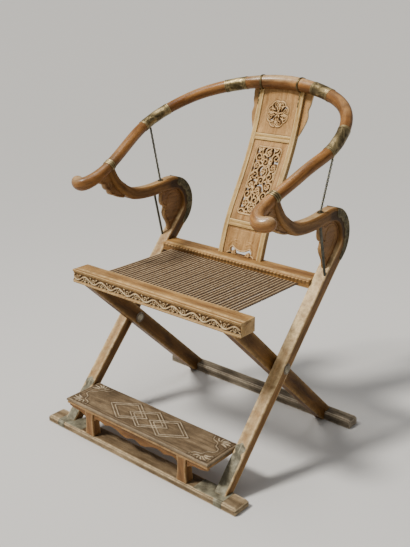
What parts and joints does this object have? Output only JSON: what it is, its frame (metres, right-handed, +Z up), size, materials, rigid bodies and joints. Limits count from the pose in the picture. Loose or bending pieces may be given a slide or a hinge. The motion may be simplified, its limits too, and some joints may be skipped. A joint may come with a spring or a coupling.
{
  "type": "folding horseshoe armchair",
  "caption": "Folding wooden armchair with a horseshoe crest rail, goose-neck arms, pierced splat, corded seat and a hinged footrest.",
  "frame": {"origin": "on the floor, in the middle of the chair's width and depth", "axes": "+Z up, the chair faces -Y, +X is the viewer's right when looking at its front"},
  "size_m": [0.753, 0.7154, 1.0414],
  "materials": {
    "crest_wood": "worn polish",
    "post_wood": "worn polish",
    "rail_wood": "worn polish",
    "splat_wood": "dry satin",
    "leg_wood": "dark satin",
    "runner_wood": "weathered",
    "footrest_wood": "weathered",
    "carved_wood": "worn polish",
    "brass": "tarnished",
    "iron": "dark",
    "sheet_metal": "dull",
    "cord": "twisted fibre"
  },
  "bodies": {
    "back_frame": {"crest_rings": "brass", "crest_top": "crest_wood", "front_runner": "runner_wood", "left_crest_handle": "crest_wood", "left_crest_handle_band": "brass", "left_crest_side": "crest_wood", "left_crest_side_band": "brass", "left_crest_top_band": "brass", "left_elbow_mount": "sheet_metal", "left_handle_bracket": "carved_wood", "left_lower_rod": "iron", "left_pivot_pin": "iron", "left_pivot_rosette": "iron", "left_post": "post_wood", "left_post_shoe": "sheet_metal", "left_runner_saddle": "sheet_metal", "left_spandrel": "carved_wood", "left_splat_stile": "splat_wood", "left_splat_wing": "splat_wood", "left_upper_rod": "iron", "neck_straps": "brass", "pivot_washers": "iron", "rear_seat_rail": "rail_wood", "right_crest_handle": "crest_wood", "right_crest_handle_band": "brass", "right_crest_side": "crest_wood", "right_crest_side_band": "brass", "right_crest_top_band": "brass", "right_elbow_mount": "sheet_metal", "right_handle_bracket": "carved_wood", "right_lower_rod": "iron", "right_pivot_pin": "iron", "right_pivot_rosette": "iron", "right_post": "post_wood", "right_post_shoe": "sheet_metal", "right_runner_saddle": "sheet_metal", "right_spandrel": "carved_wood", "right_splat_stile": "splat_wood", "right_splat_wing": "splat_wood", "right_upper_rod": "iron", "rod_plates": "brass", "seat_cords": "cord", "splat_bottom_panel": "splat_wood", "splat_lower_rail": "splat_wood", "splat_middle_panel": "splat_wood", "splat_top_panel": "splat_wood", "splat_upper_rail": "splat_wood"},
    "seat_frame": {"front_seat_rail": "rail_wood", "rear_runner": "runner_wood", "leg_rosettes": "iron", "left_leg": "leg_wood", "right_leg": "leg_wood"},
    "footrest": {"footrest_board": "footrest_wood", "footrest_apron": "footrest_wood", "footrest_pintles": "iron", "left_footrest_foot": "footrest_wood", "right_footrest_foot": "footrest_wood"}
  },
  "joints": [
    {"name": "seat_fold", "type": "hinge", "parent": "back_frame", "child": "seat_frame", "pos_m": [0, -0.06258, 0.296], "axis": [1, 0, 0], "range_deg": [-69, 0], "deforming": ["seat_cords"]},
    {"name": "footrest_swing", "type": "hinge", "parent": "back_frame", "child": "footrest", "pos_m": [0, -0.22873, 0.1065], "axis": [1, 0, 0], "range_deg": [-105, 0]}
  ]
}
